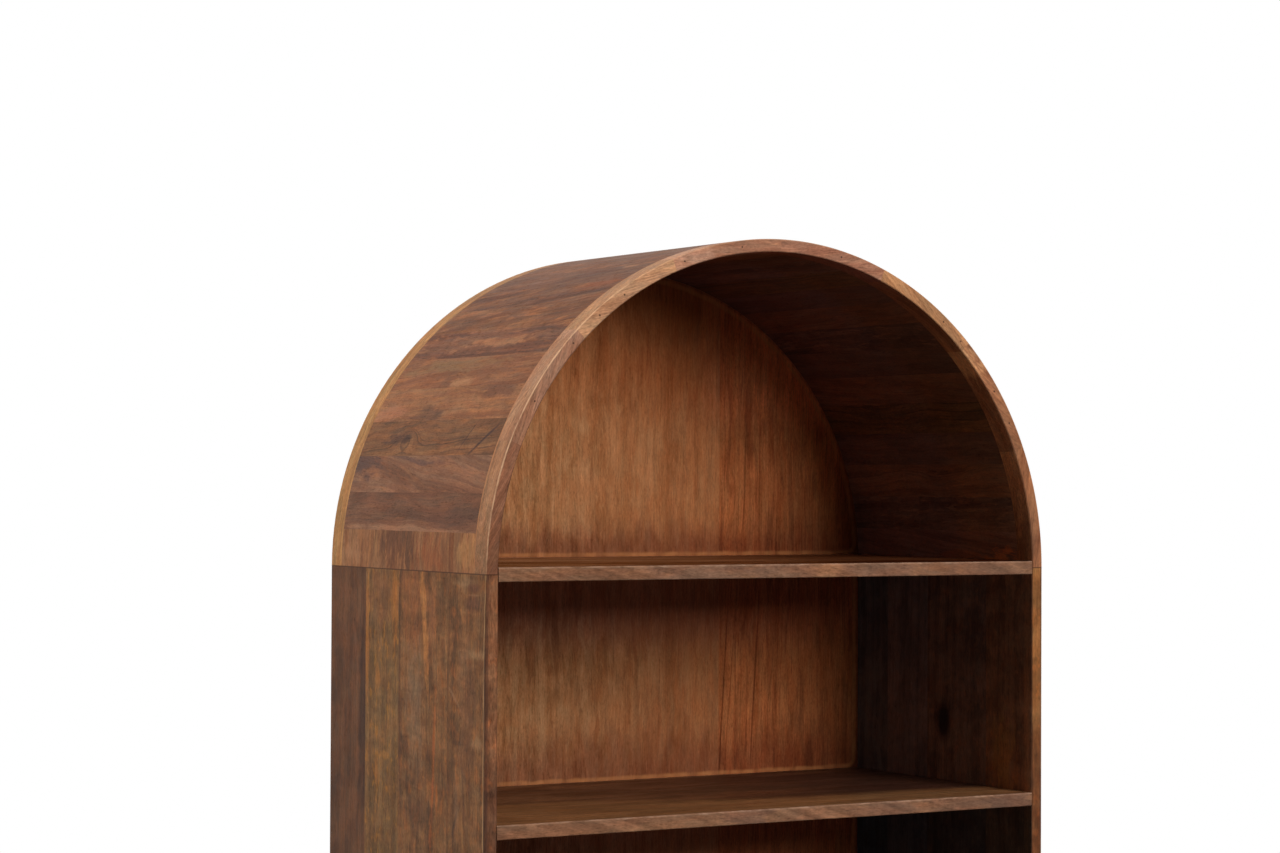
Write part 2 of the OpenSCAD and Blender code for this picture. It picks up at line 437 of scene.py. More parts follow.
def worn_and_highlit_side(g, color):
    """Wear, stain and a painted highlight along the front edges of a side."""
    radius, x, y, z = wall_place(g)
    outer, inner, rag, patches = wear_near_arrises(g, radius, x, y, z)
    on_left = g.math("LESS_THAN", x, 0.0)
    facing = on_front(g, y)

    # The stain of the front edge deepens below the arch, and differs from side to side
    lower = g.remap(z, (SPRINGING_Z - 0.15) * MM, (SPRINGING_Z - 0.3) * MM)
    right_stain = g.blend(lower, (1.39, 1.27, 1.01, 1), (0.78, 0.64, 0.61, 1))
    left_stain = g.blend(lower, (1.21, 1.13, 1.25, 1), (0.84, 0.81, 1.0, 1))
    color = g.tint(color, g.blend(on_left, right_stain, left_stain), facing)

    # A dark strip runs beside the outer arris
    from_outside = g.minus(OUTER_R * MM, radius)
    strip = g.times(g.remap(g.size(g.minus(from_outside, 2.2)), 2.2, 1.0), facing)

    # On the left the worn line, a painted highlight as well as wear, lies on the outer skin, a
    # little further back lower down
    drift = g.remap(z, SPRINGING_Z * MM, (SPRINGING_Z - 0.13) * MM, 1.6, 5.5)
    from_line = g.plus(g.minus(g.minus(y, FRONT_Y * MM), drift), g.times(rag, 3.0))
    on_skin = g.times(on_outer_skin(g, radius, 1.8), on_left)
    strip = g.most(strip, g.times(g.remap(from_line, 0.2, -0.8), on_skin))
    color = g.blend(g.times(strip, 0.55), color, DARK_STRIP)
    left_line = g.times(g.remap(g.size(from_line), 1.5, 0.4), on_skin)
    right_line = g.times(g.remap(outer, 2.2, 0.8), g.minus(1.0, on_left))
    line = g.times(g.plus(left_line, right_line), g.remap(patches, 0.3, 0.6, 0.25, 0.65))
    color = g.blend(line, color, SIDE_WEAR_AND_HIGHLIGHT)
    return g.blend(g.remap(inner, 2.2, 0.8, 0.0, 0.5), color, DARK_ARRIS)


def shelf_top(g, color, x, y, swirl, gloss, tones):
    """The deep stain of a shelf's top, which changes from corner to corner, with painted shade
    towards the right wall.
    """
    front_left, front_right, back_left, back_right = [screen_share(tone) for tone in tones]
    rightwards = g.remap(x, -300.0, 300.0)
    front_tone = g.blend(rightwards, front_left, front_right)
    back_tone = g.blend(rightwards, back_left, back_right)

    # The back tone begins along a wavy border that comes forwards on the right
    border = g.remap(x, -250.0, 120.0, -35.0, -135.0)
    wave = g.times(g.minus(swirl, 0.5), 60.0)
    behind = g.remap(g.plus(g.minus(y, border), wave), -22.0, 30.0)
    uneven = g.remap(gloss, 0.0, 1.0, 0.88, 1.07, smooth=False)
    return g.tint(g.tint(color, g.blend(behind, front_tone, back_tone)), g.grey(uneven))


def shelf_edge(g, color, shade, x, z):
    """The paler, dustier front edge of a shelf with a painted grey sheen, crossed by slanted
    stripes.
    """
    # Dust and a painted sheen grey the edge
    dust_and_sheen = g.tint(SHELF_DUST_AND_SHEEN, shade)
    slanted = g.plus(x, g.times(z, 3.0))
    stripes = g.noise_1d(g.times(slanted, 0.025), 4.0, 0.6)
    stripes = g.remap(stripes, 0.3, 0.7, 0.72, 1.24, smooth=False)
    return g.tint(g.blend(0.55, color, dust_and_sheen), g.grey(stripes))


def finish_shelf(g, color, roughness, height, shade, centre, tones):
    """A deeply stained, glossier shelf whose front edge is paler, with a painted sheen, and worn
    along its upper arris, where a highlight is painted too.

    tones are the shares of brightness at the front left, front right, back left and back right;
    they hold painted shade as well as stain.
    """
    x, y, z = g.split(g.position())
    swirl = g.cloud((x, y, z), (0.004, 0.014, 0.0), 2.0, 0.5, 0.8)
    gloss = g.remap(swirl, 0.38, 0.62)
    on_edge = g.remap(y, FRONT_Y * MM + 2.5, FRONT_Y * MM + 0.5)
    stained = shelf_top(g, color, x, y, swirl, gloss, tones)
    color = g.blend(on_edge, stained, shelf_edge(g, color, shade, x, z))

    # Painted highlight and wear in places along the upper arris
    top = centre.z * MM + SHELF_T * MM / 2
    rag = g.swing((x, y, z), (0.05, 0.2, 0.2), 3.0, 0.6)
    arris = g.plus(g.length(g.minus(y, FRONT_Y * MM), g.minus(z, top)), g.times(rag, 5.0))
    broken = g.cloud((x, y, z), (0.04, 0.0, 0.0), 3.0, 0.6)
    worn = g.times(g.remap(arris, 3.0, 0.6), g.remap(broken, 0.35, 0.65, 0.1, 0.65))
    color = g.blend(worn, color, SHELF_WEAR_AND_HIGHLIGHT)

    glossy = g.times(gloss, g.minus(1.0, on_edge))
    rough = g.times(roughness, g.remap(glossy, 0.0, 1.0, 0.95, 0.6, smooth=False))
    finish_material(g, color, rough, height, SHELF_SPECULAR)


def foot_joint(g, color):
    """The dark joint line between the feet of the arch and the sides."""
    z = g.split(g.position())[2]
    line = g.remap(g.size(g.minus(z, SPRINGING_Z * MM)), 1.3, 0.3, 0.0, 0.75)
    return g.blend(line, color, DARK_JOINT)


def inside_light_and_shade(g, color, board_tint):
    """The wall's inner skin, with painted light and shade: greyer low down, where painted light
    lifts the shade, and deep red-brown painted shade under the crown of the arch.
    """
    radius, x, y, z = wall_place(g)
    above = g.most(g.minus(z, SPRINGING_Z * MM), 0.0)
    rise = g.math("ARCTAN2", above, g.size(x))
    tone = g.blend(g.remap(rise, 0.2, 0.7), (1.12, 1.43, 2.05, 1), (0.9, 0.99, 1.33, 1))
    tone = g.blend(g.remap(rise, 0.7, 1.2), tone, (0.75, 0.75, 1.13, 1))
    tone = g.blend(g.remap(rise, 1.2, 1.55), tone, (0.49, 0.36, 0.39, 1))

    # Painted light makes the front half of the arch warmer; painted shade darkens it just under the
    # arch's foot
    warm = g.blend(g.remap(rise, 0.25, 0.6), (1.4, 1.2, 0.85, 1), (0.9, 0.78, 0.58, 1))
    forward = g.times(g.remap(y, -30.0, -100.0), g.remap(rise, 0.0, 0.03))
    tone = g.tint(tone, warm, forward)
    from_top = g.minus(SPRINGING_Z * MM, z)
    painted_shade = g.blend(g.remap(from_top, 240.0, 100.0), (1.12, 1.12, 1.1, 1), (0.8, 0.8, 0.82, 1))
    tone = g.tint(tone, painted_shade, g.remap(from_top, 0.0, 20.0))

    # The left half is hidden from the photo, so it has one tone
    tone = g.blend(g.remap(x, 0.0, -60.0), tone, (0.75, 0.72, 0.78, 1))

    # Deep shade under the second shelf, as far down as the photo shows
    from_second = g.minus((SHELF_TOP - BAY_PITCH) * MM, z)
    deep = g.times(g.remap(from_second, 0.0, 16.0), g.remap(from_second, 420.0, 200.0))
    tone = g.tint(tone, (0.3, 0.4, 0.5, 1), deep)
    return g.tint(color, g.tint(tone, board_tint), on_inner_skin(g, radius))


def finish_material(g, color, roughness, height, specular=WALL_SPECULAR):
    """Thin satin lacquer over the stained wood."""
    bump = g.add("ShaderNodeBump", {"Height": height, "Strength": 0.3, "Distance": 0.0004})
    g.coat({
        "Base Color": color,
        "Roughness": roughness,
        "Normal": bump.outputs[0],
        "Specular IOR Level": specular,
    })


def grain_on(g, board, place, seed):
    """The grain of a board at a place in its own millimetres."""
    inputs = {"Point": place, "Seed": seed, "Pith": board.pith, "Knot": board.knot,
              **board.wood.tones, **board.wood.numbers}
    grain = g.add("ShaderNodeGroup", inputs, node_tree=GRAIN)
    color, roughness, height, flow, shade = grain.outputs
    for mark in board.marks:
        color = mark.paint(g, color, place, flow, shade)
    return g.tint(color, board.tint), roughness, height, shade


def lay_grain(g, board, along, across, centre, seed):
    """The grain of a board that runs along one axis, with its place across on another."""
    axes = (along, across, along.cross(across))
    point = g.position()
    parts = [g.minus(g.dot(point, axis), centre.dot(axis) * MM) for axis in axes]
    return grain_on(g, board, g.combine(*parts), [seed * step for step in SEED_STEPS])


def filled_pins(g, color, angles):
    """Small dark nail holes in the face of the front ring, at angles from the left springing."""
    x, y, z = g.split(g.position())
    radius = (OUTER_R + INNER_R) / 2 * MM
    facing = on_front(g, y)
    for angle in angles:
        turn = math.radians(angle)
        spot_x = -radius * math.cos(turn)
        spot_z = SPRINGING_Z * MM + radius * math.sin(turn)
        distance = g.length(g.minus(x, spot_x), g.minus(z, spot_z))
        cover = g.times(g.remap(distance, 1.9, 0.8, 0.0, 0.85), facing)
        color = g.blend(cover, color, DARK_PIN)
    return color


def wall_material(node, board, along, across, seed, wear=None, pins=()):
    """A material for one board of the arch or the sides. wear paints its worn edges and their
    painted highlights.
    """
    material, g = new_material(node)
    color, roughness, height, _ = lay_grain(g, board, along, across, centre_of(node), seed)
    color = inside_light_and_shade(g, color, board.inside)
    if wear:
        color = wear(g, color)
    color = filled_pins(g, color, pins)
    color = foot_joint(g, color)
    finish_material(g, color, roughness, height)
    return material


def level_material(node, board, across, seed, tones=None):
    """A material for a level board from side to side. tones are those of a shelf's top."""
    material, g = new_material(node)
    centre = centre_of(node)
    color, roughness, height, shade = lay_grain(g, board, ALONG_X, across, centre, seed)
    if tones:
        finish_shelf(g, color, roughness, height, shade, centre, tones)
    else:
        finish_material(g, color, roughness, height)
    return material


def dress(node, material):
    """Gives a CAD node its material, softens its edges and shades its curves smoothly."""
    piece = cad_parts[node]
    piece.data.materials.clear()
    piece.data.materials.append(material)
    for polygon in piece.data.polygons:
        polygon.use_smooth = True
    softened = piece.modifiers.new("softened edges", "BEVEL")
    softened.width = 0.0004
    softened.segments = 2
    softened.limit_method = "ANGLE"
    softened.angle_limit = math.radians(40)
    softened.harden_normals = True


def centre_of(node):
    low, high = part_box(node)
    return (low + high) / 2


# Kinds of wood, in screen colours: dark, light, streak, gold; then their figure
RED_BROWN = Wood((106, 66, 46), (146, 98, 70), (76, 50, 40), (166, 106, 68),
                 streaks=0.28, lines=0.25, contrast=0.62)
DARK_BROWN = Wood((92, 61, 47), (127, 88, 68), (68, 48, 40), (148, 104, 74),
                  streaks=0.3, flecks=0.15, lines=0.2, contrast=0.62)
OLIVE_BROWN = Wood((90, 61, 41), (132, 90, 58), (56, 42, 33), (148, 92, 54),
                   streaks=0.35, figure=0.25, lines=0.45, contrast=0.78)
TAN_BROWN = Wood((116, 73, 50), (154, 108, 76), (82, 52, 40), (174, 122, 78),
                 streaks=0.3, lines=0.2, contrast=0.85)
ORANGE_BROWN = Wood((118, 76, 53), (152, 104, 73), (80, 54, 44), (170, 112, 70),
                    streaks=0.25, figure=0.35, lines=0.2, contrast=0.75)
FIGURED = Wood((88, 58, 46), (130, 91, 70), (66, 46, 40), (160, 110, 80),
               wander=18.0, streaks=0.45, flecks=0.45, figure=0.35, lines=0.1, contrast=0.76)
LIPPING = Wood((142, 98, 69), (182, 132, 94), (114, 78, 58), (198, 144, 98),
               streaks=0.25, wander=16.0)
LIPPING_DARK = Wood((130, 89, 64), (170, 120, 88), (100, 68, 52), (184, 130, 88),
                    streaks=0.3, wander=16.0)
LIPPING_GOLD = Wood((142, 99, 62), (182, 132, 86), (114, 78, 52), (198, 144, 90),
                    streaks=0.25, wander=16.0)
SIDE_BROWN = Wood((92, 61, 41), (142, 99, 66), (70, 48, 37), (166, 100, 56),
                  stretch=2.6, fine=0.7, streaks=0.4, flecks=0.35, figure=0.45, wander=20.0)
SIDE_OLIVE = Wood((96, 68, 42), (140, 102, 64), (74, 54, 38), (178, 116, 46),
                  stretch=2.4, fine=0.9, streaks=0.25, flecks=0.4, figure=0.3, wander=14.0)
SIDE_DARK = Wood((84, 55, 40), (122, 82, 59), (58, 41, 35), (140, 88, 60),
                 stretch=2.0, fine=0.7, streaks=0.2, flecks=0.15, figure=0.2, wander=22.0,
                 lines=0.2, contrast=0.58)
WALL_BROWN = Wood((92, 61, 41), (142, 99, 66), (70, 48, 37), (166, 100, 56),
                  stretch=2.6, fine=0.7, streaks=0.3, flecks=0.25, figure=0.3,
                  wander=20.0, lines=0.25, contrast=0.7)
SHELF_WOOD = Wood((108, 70, 44), (148, 100, 65), (76, 50, 35), (168, 112, 68),
                  stretch=0.7, streaks=0.22, flecks=0.35, figure=0.35, lines=0.12,
                  wander=30.0, contrast=0.85)
VENEER_GOLD = Wood((134, 88, 55), (173, 124, 86), (113, 68, 42), (183, 132, 92),
                   stretch=1.9, fine=1.15, wander=14.0, streaks=0.45, flecks=0.35,
                   figure=0.06, lines=0.06, contrast=0.88)
VENEER_RED = Wood((134, 73, 41), (164, 98, 59), (96, 50, 31), (176, 112, 68),
                  stretch=1.3, fine=1.3, wander=10.0, streaks=0.45, flecks=0.2,
                  figure=0.05, lines=0.3, contrast=0.9)

# Staves from the left foot over the top. Marks are placed in mm from the stave's middle: towards
# the back, then along the arch to the right; on the first stave up, then towards the back.
STAVES = [
    Board(TAN_BROWN, (0.0, 90.0, -50.0), [
        Mark((6, 20), (44, 60), (90, 60, 46), 0.75, 0.6, 1.6),
        Mark((-6, -70), (30, 40), (138, 82, 54), 0.6, 0.3, 1.5),
        Mark((2, -176), (26, 30), (166, 118, 78), 0.7, 0.2, 1.3),
        Mark((-8, 165), (16, 44), (164, 116, 84), 0.6, 0.8, 1.3),
    ]),
    Board(DARK_BROWN, (0.0, 60.0, -90.0), [
        Mark((-110, -6), (110, 12), (92, 64, 54), 0.5),
        Mark((-20, -21), (260, 5), (164, 116, 88), 0.6, 0.01),
    ]),
    Board(RED_BROWN, (-0.12, -40.0, -50.0), tint=(0.98, 1.03, 1.1), marks=[
        Mark((175, 0), (55, 34), (82, 58, 50), 0.8),
        Mark((60, 18), (150, 4), (88, 60, 52), 0.6, -0.04),
    ]),
    Board(OLIVE_BROWN, (0.05, 20.0, -30.0), tint=(1.02, 1.02, 1.08), marks=[
        Mark((95, 8), (42, 12), (66, 48, 40), 0.7),
        Mark((-157, -4), (40, 4.0), (58, 42, 38), 0.8, -0.75, 0.35, steady=True),
        Mark((-108, 0), (18, 3.0), (72, 50, 42), 0.7, -1.6, 0.35, steady=True),
    ], knot=(70.0, 4.0, 13.0)),
    Board(ORANGE_BROWN, (0.03, 50.0, -80.0), [
        Mark((34, -17), (50, 13), (94, 66, 52), 0.75, 0.0, 1.0, steady=True),
        Mark((-130, 12), (64, 13), (102, 69, 53), 0.8),
        Mark((150, -8), (50, 16), (158, 106, 82), 0.5),
    ]),
    Board(RED_BROWN, (0.04, 80.0, -70.0), [
        Mark((-12, -18), (36, 9), (168, 124, 90), 0.7, 0.0, 0.6, steady=True),
        Mark((40, 10), (160, 14), (132, 98, 68), 0.6),
    ]),
    Board(FIGURED, (0.0, -70.0, -60.0), tint=(1.01, 0.96, 0.92), marks=[
        Mark((0, -23), (190, 4), (74, 50, 42), 0.7, 0.0, 0.8, steady=True),
        Mark((-45, 0), (110, 10), (162, 116, 84), 0.6, 0.03, 1.2),
    ]),
    Board(FIGURED, (0.08, 40.0, -70.0), tint=(1.04, 0.98, 0.88)),
    Board(FIGURED, (0.14, 60.0, -50.0), tint=(0.97, 0.9, 0.81), marks=[
        Mark((130, -20), (80, 5), (70, 48, 40), 0.75, 0.05, 0.8),
        Mark((-150, 4), (70, 22), (132, 80, 58), 0.5),
    ]),
    Board(DARK_BROWN, (0.16, 30.0, -60.0), tint=(0.95, 0.91, 0.86), marks=[
        Mark((-140, 2), (26, 9), (166, 120, 88), 0.7, 0.0, 0.8),
    ]),
    Board(FIGURED, (0.1, -50.0, -60.0), tint=(1.0, 0.93, 0.83)),
    Board(DARK_BROWN, (0.12, 60.0, -60.0), tint=(0.96, 0.91, 0.81)),
    Board(RED_BROWN, (0.08, 20.0, -70.0)),
]
REST_OF_STAVES = [RED_BROWN, DARK_BROWN, FIGURED, OLIVE_BROWN, DARK_BROWN, RED_BROWN, FIGURED,
                  DARK_BROWN, RED_BROWN, OLIVE_BROWN, DARK_BROWN, RED_BROWN, FIGURED]
for order, kind in enumerate(REST_OF_STAVES):
    STAVES.append(Board(kind, (0.05 * math.sin(order), 50 * math.cos(order * 2.0), -60.0)))
# The last stave's inside tint holds painted light as well as its own tone
STAVES.append(Board(DARK_BROWN, (0.1, 40.0, -50.0), inside=(1.14, 1.1, 1.12), marks=[
    Mark((-165, 2), (46, 20), (172, 98, 54), 0.75, 0.3, 1.5),
    Mark((-60, 8), (60, 7), (132, 76, 48), 0.5, 0.1, 1.2),
]))

# Segments of the front ring from the left foot: the board, and how deeply its front face is
# stained. Marks are placed in mm from the segment's middle: along the arch, then outwards.
RING_SEGMENTS = [
    (Board(LIPPING_DARK, (0.3, 30.0, -30.0), tint=(0.99, 1.02, 1.07), marks=[
        Mark((-60, 0), (50, 30), (130, 88, 60), 0.45, 0.0, 1.2),
    ]), 0.95),
    (Board(LIPPING, (-0.25, -35.0, -30.0), tint=(0.97, 0.99, 1.09), marks=[
        Mark((84, 0), (16, 30), (186, 140, 108), 0.6, 0.0, 0.8),
        Mark((-30, 6), (60, 8), (172, 124, 92), 0.5, 0.3, 1.0),
        Mark((35, 0), (40, 30), (182, 136, 102), 0.4),
    ]), 0.55),
    (Board(LIPPING, (0.35, -30.0, -30.0), tint=(1.06, 1.1, 1.17), marks=[
        Mark((5, 0), (34, 30), (150, 104, 76), 0.35, 0.0, 1.0),
        Mark((50, 0), (40, 30), (146, 104, 78), 0.45),
    ]), 0.0),
    (Board(LIPPING, (0.15, 20.0, -30.0), tint=(1.04, 1.05, 1.16), marks=[
        Mark((-82, 0), (18, 30), (190, 142, 106), 0.6, 0.0, 0.8),
        Mark((-45, 0), (36, 30), (190, 146, 112), 0.5),
        Mark((55, 0), (40, 30), (136, 92, 68), 0.3),
    ]), 0.3),
    (Board(LIPPING, (-0.3, 35.0, -30.0), tint=(0.99, 0.98, 1.1)), 0.4),
    (Board(LIPPING, (0.25, 10.0, -30.0), tint=(1.03, 1.04, 1.04)), 0.1),
    (Board(LIPPING_DARK, (-0.35, -30.0, -30.0), tint=(1.02, 1.01, 1.01), marks=[
        Mark((-72, 0), (44, 40), (206, 158, 114), 0.95, 0.0, 0.8),
    ]), 0.5),
    (Board(LIPPING, (0.3, -20.0, -30.0), tint=(1.08, 1.08, 1.08), marks=[
        Mark((55, 0), (50, 40), (112, 76, 56), 0.75, 0.0, 0.8),
    ]), 0.85),
]

# Places of the nail holes in the front ring, in degrees from the left springing
PIN_ANGLES = [30.4, 42.8, 49.9, 56, 69.6, 81.8, 103, 128.3, 133.5, 145.4, 152.2]

# Side boards from the front to the back. Marks are placed in mm from the board's middle: up, then
# towards the back.
LEFT_SIDE = [
    Board(SIDE_BROWN, (0.01, 70.0, -60.0), [
        Mark((676, 9), (9, 30), (152, 114, 84), 0.4),
        Mark((670, -20), (7, 26), (94, 60, 48), 0.6, 0.0, 0.3, steady=True),
        Mark((650, -20), (12, 28), (96, 62, 50), 0.55, 0.0, 0.4, steady=True),
        Mark((661, -18), (1.8, 26), (142, 98, 72), 0.55, 0.0, 0.15, steady=True),
        Mark((352, 9), (36, 4), (144, 104, 68), 0.65, 0.1, 0.3, steady=True),
        Mark((362, 31), (26, 3.4), (72, 52, 41), 0.65, -0.4, 0.3, steady=True),
        Mark((392, 6), (58, 3.4), (76, 54, 44), 0.55, 0.06, 0.3, steady=True),
        Mark((392, 26), (50, 8), (140, 102, 76), 0.4, 0.1, 0.5, steady=True),
        Mark((427, 52), (42, 3), (84, 58, 46), 0.45, 0.2, 0.4, steady=True),
        Mark((468, 16), (4, 34), (86, 60, 46), 0.5, 0.0, 0.4, steady=True),
        Mark((524, 30), (20, 5), (154, 116, 88), 0.45, 1.2, 0.4, steady=True),
        Mark((585, -10), (8, 40), (156, 118, 86), 0.6),
        Mark((470, -22), (9, 20), (152, 114, 82), 0.6),
        Mark((520, 5), (120, 22), (118, 82, 60), 0.5),
    ]),
    Board(SIDE_BROWN, (0.0, -90.0, -60.0), [
        Mark((640, 30), (70, 36), (136, 84, 54), 0.6),
        Mark((500, 22), (100, 26), (134, 104, 80), 0.55),
        Mark((368, 20), (28, 44), (92, 64, 48), 0.65, 0.0, 0.8),
        Mark((630, -26), (70, 20), (158, 104, 70), 0.5),
        Mark((610, -7), (110, 8.0), (176, 116, 70), 0.75, 0.12, 0.9, steady=True),
        Mark((430, -30), (120, 4.5), (158, 88, 50), 0.6, -0.06, 0.9),
        Mark((386, -43), (26, 3.4), (168, 96, 52), 0.65, 0.0, 0.6, steady=True),
        Mark((560, 66), (300, 4.0), (84, 58, 44), 0.6, 0.0, 0.5),
    ]),
    Board(SIDE_OLIVE, (0.0, 60.0, -90.0), tint=(1.0, 1.0, 1.05), marks=[
        Mark((590, 44), (100, 7.0), (168, 106, 54), 0.6, 0.0, 0.8),
        Mark((650, -40), (60, 13.0), (172, 108, 54), 0.6, 0.0, 0.9),
        Mark((655, 5), (60, 40), (124, 82, 54), 0.6),
        Mark((537, 12), (22, 8), (164, 108, 56), 0.6, 0.0, 1.2),
        Mark((435, -8), (7, 24), (162, 108, 56), 0.55, 0.0, 0.8),
        Mark((416, 16), (20, 7), (164, 106, 54), 0.6, 0.0, 1.0),
    ]),
    Board(SIDE_DARK, (0.04, 60.0, -50.0), tint=(0.94, 0.94, 0.93), marks=[
        Mark((500, -54), (190, 24), (52, 39, 36), 0.56, 0.0, 0.6, steady=True),
        Mark((580, 0), (40, 6), (138, 88, 64), 0.4, 0.25),
    ]),
]
# The inside tints of these boards hold painted light on the shaded inner wall, as well as their own
# tone
RIGHT_SIDE = [
    Board(WALL_BROWN, (0.0, 50.0, 60.0), inside=(1.13, 1.01, 0.95), marks=[
        Mark((455, -42), (260, 8), (164, 104, 60), 0.4, 0.0, 0.8, steady=True),
        Mark((420, 10), (70, 30), (150, 104, 54), 0.6, 0.0, 1.0),
    ]),
    Board(WALL_BROWN, (0.01, -60.0, 60.0), inside=(1.0, 0.99, 1.06), marks=[
        Mark((455, 31), (38, 22), (34, 22, 18), 0.95, 0.0, 0.12, steady=True),
    ]),
    Board(SIDE_DARK, (0.02, 60.0, 60.0), inside=(1.1, 1.23, 1.36)),
    Board(SIDE_DARK, (0.0, -60.0, 60.0), inside=(0.96, 1.18, 1.36)),
]

# Leaves of the back panel's veneer. Marks are placed in mm from the panel's middle: up, then to
# the right. The golden leaf lies on the left, the red one to the right of the joint.
VENEER_JOINT_X = 176.0  # mm
VENEER_LEFT = Board(VENEER_GOLD, (0.004, 300.0, -500.0), [
    Mark((500, 84), (420, 9), (116, 72, 42), 0.5, 0.0, 0.5),
    Mark((560, -117), (380, 8), (124, 78, 46), 0.4, 0.0, 0.7),
    Mark((560, 10), (300, 14), (122, 76, 44), 0.4, 0.02, 0.8),
    Mark((330, -105), (90, 7), (96, 56, 34), 0.5, 0.0, 0.5),
    Mark((200, 60), (60, 16), (108, 64, 42), 0.5, 0.0, 0.8),
])
VENEER_RIGHT = Board(VENEER_RED, (-0.01, -200.0, -400.0), [
    Mark((590, 222), (130, 1.6), (96, 50, 28), 0.6, 0.02, 0.1, steady=True),
    Mark((570, 248), (110, 1.6), (96, 50, 28), 0.5, 0.01, 0.1, steady=True),
    Mark((250, 184), (190, 1.8), (84, 42, 25), 0.7, 0.06, 0.1, steady=True),
    Mark((250, 196), (150, 1.2), (92, 48, 28), 0.5, 0.08, 0.1, steady=True),
    Mark((260, 240), (160, 1.8), (84, 42, 25), 0.7, 0.06, 0.1, steady=True),
])

EDGE_V = -215.5  # the front edge of a shelf, in mm across it from its middle
EDGE_REACH = 9


def edge_mark(along, reach, tone, strength, ragged=0.9):
    """A mark on the front edge of a shelf, in mm to the right of its middle."""
    return Mark((along, EDGE_V), (reach, EDGE_REACH), tone, strength, 0.0, ragged, steady=True)


# Marks of the shelves, and the tones of their tops at the front left, front right, back left and
# back right. The shelves below the photo's crop look like the second one.
# The tops' tones are partly stain and partly painted shade, darker towards the right wall
SHELVES = {
    "shelf_1": ([
        edge_mark(-130, 95, (92, 70, 64), 0.45),
        edge_mark(10, 60, (92, 70, 64), 0.35),
        edge_mark(80, 22, (188, 132, 88), 0.5),
        edge_mark(175, 70, (92, 70, 64), 0.4),
        edge_mark(345, 75, (84, 56, 44), 0.55, 1.1),
    ], [(0.88, 0.74, 0.59), (0.4, 0.26, 0.16), (1.2, 1.18, 1.2), (0.68, 0.59, 0.56)]),
    "shelf_2": ([
        edge_mark(-50, 38, (74, 50, 42), 0.6, 1.2),
        edge_mark(170, 60, (86, 60, 50), 0.5),
        edge_mark(300, 70, (92, 58, 42), 0.4),
        edge_mark(390, 50, (72, 48, 40), 0.7),
        Mark((125, 18), (120, 60), (136, 95, 62), 0.6),
    ], [(1.03, 1.02, 1.0), (1.03, 1.05, 1.06), (0.76, 0.73, 0.76), (0.52, 0.5, 0.6)]),
}


def arch_tangent(angle):
    """Direction along the arch at an angle from the left springing, in radians."""
    return Vector((math.sin(angle), 0, math.cos(angle)))


def dress_staves():
    for number, board in enumerate(STAVES, 1):
        node = f"stave_{number}"
        tangent = arch_tangent(math.pi * (number - 0.5) / STAVE_COUNT)
        # The grain runs towards the back, but upright in the first stave
        axes = (tangent, ALONG_Y) if number == 1 else (ALONG_Y, tangent)
        dress(node, wall_material(node, board, *axes, number))


def dress_rings():
    for number, (board, face_stain) in enumerate(RING_SEGMENTS, 1):
        node = f"front_ring_{number}"
        tangent = arch_tangent(math.pi * (number - 0.5) / SEGMENT_COUNT)
        outwards = tangent.cross(ALONG_Y)
        pins = [angle for angle in PIN_ANGLES if number - 1 <= angle / 180 * SEGMENT_COUNT < number]
        wear = partial(worn_and_highlit_arch, face_stain=face_stain)
        seed = RING_SEED + number
        dress(node, wall_material(node, board, tangent, outwards, seed, wear, pins))
    dress("rear_ring", rear_ring_material())


def rear_ring_material():
    """Segments of golden lipping bent round the arch, each with its own grain."""
    material, g = new_material("rear_ring")
    radius, x, y, z = wall_place(g)
    turn = g.math("ARCTAN2", g.minus(z, SPRINGING_Z * MM), g.times(x, -1.0))
    share = g.times(turn, SEGMENT_COUNT / math.pi)
    segment = g.math("FLOOR", share)
    arc = math.pi * OUTER_R * MM / SEGMENT_COUNT
    along = g.times(g.minus(g.minus(share, segment), 0.5), arc)
    across = g.minus(y, REAR_Y * MM)
    place = g.combine(along, across, g.minus(radius, INNER_R * MM))
    shift = g.times(segment, 23.7)
    board = Board(LIPPING_GOLD, (0.0, 60.0, -40.0))
    color, roughness, height, _ = grain_on(g, board, place, g.grey(shift))
    color = foot_joint(g, color)
    finish_material(g, color, roughness, height)
    return material


def dress_sides():
    sides = (("left", LEFT_SIDE, LEFT_SEED), ("right", RIGHT_SIDE, RIGHT_SEED))
    for side, boards, first_seed in sides:
        for number, board in enumerate(boards, 1):
            node = f"{side}_side_board_{number}"
            wear = worn_and_highlit_side if number == 1 else None
            seed = first_seed + number
            dress(node, wall_material(node, board, ALONG_Z, ALONG_Y, seed, wear))


def dress_shelves():
    shelves = ("shelf_1", "shelf_2", "shelf_3", "shelf_4", "bottom_board")
    for seed, node in enumerate(shelves, SHELF_SEED):
        marks, tones = SHELVES.get(node, SHELVES["shelf_2"])
        board = Board(SHELF_WOOD, (0.02, 80.0, -40.0), marks)
        dress(node, level_material(node, board, ALONG_Y, seed, tones))
    for seed, node in enumerate(("front_kick_rail", "rear_kick_rail"), RAIL_SEED):
        dress(node, level_material(node, Board(SIDE_DARK), ALONG_Z, seed))


def veneer_tones(g, veneer, x, z):
    """Three patches of the panel under the arch: lighter at the right, redder, and painted light
    above.
    """
    lighter_right = g.times(g.remap(x, 160.0, 330.0), g.remap(z, 1430.0, 1540.0))
    veneer = g.tint(veneer, (1.6, 1.58, 1.6, 1), lighter_right)
    redder = g.times(g.remap(x, 250.0, 100.0), g.remap(z, 1560.0, 1690.0))
    veneer = g.tint(veneer, (1.08, 0.86, 0.74, 1), redder)
    # Painted light high under the crown, right of the middle
    painted_light = g.times(g.remap(x, 110.0, 190.0), g.remap(z, 1560.0, 1630.0))
    return g.tint(veneer, (1.42, 1.32, 1.42, 1), painted_light)


